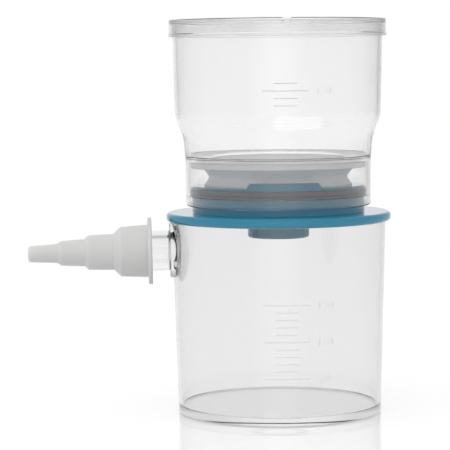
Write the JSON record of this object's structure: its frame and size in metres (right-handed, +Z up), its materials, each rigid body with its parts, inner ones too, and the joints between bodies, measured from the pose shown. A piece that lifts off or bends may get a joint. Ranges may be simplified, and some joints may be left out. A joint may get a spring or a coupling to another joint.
{
  "type": "vacuum filtration unit",
  "caption": "Clear receiver cup with a side arm and stepped hose adapter, under a flanged filter base, a membrane on a support plate, and a clear upper chamber with a lid.",
  "frame": {"origin": "centre of the flat face that the receiver stands on", "axes": "+Z up along the receiver's axis, -X along the side arm and the hose adapter, -Y towards the graduation lines"},
  "size_m": [0.1293, 0.08, 0.1397],
  "materials": {
    "clear_plastic": "polished, clear moulded polystyrene",
    "teal_plastic": "glossy, opaque teal",
    "milky_plastic": "satin, milky and a little translucent",
    "white_plastic": "satin white",
    "seal_rubber": "dark, smooth",
    "membrane_sheet": "fine, matt white sheet",
    "plug_fibre": "loose white fibre"
  },
  "bodies": {
    "receiver": {"receiver_cup": "clear_plastic", "side_arm_plug": "plug_fibre"},
    "filter_head": {"filter_base": "teal_plastic", "chamber_seal": "seal_rubber", "receiver_gasket": "seal_rubber", "support_plate": "white_plastic", "membrane": "membrane_sheet"},
    "chamber": {"upper_chamber": "clear_plastic"},
    "cover": {"lid": "clear_plastic"},
    "adapter": {"hose_adapter": "milky_plastic"}
  },
  "joints": [
    {"name": "head_lift", "type": "slide", "parent": "receiver", "child": "filter_head", "axis": [0, 0, 1], "range_m": [0, 0.012]},
    {"name": "chamber_lift", "type": "slide", "parent": "filter_head", "child": "chamber", "axis": [0, 0, 1], "range_m": [0, 0.018]},
    {"name": "lid_lift", "type": "slide", "parent": "chamber", "child": "cover", "axis": [0, 0, 1], "range_m": [0, 0.01]},
    {"name": "adapter_pull", "type": "slide", "parent": "receiver", "child": "adapter", "axis": [-0.9999, 0, -0.0157], "range_m": [0, 0.012]}
  ]
}
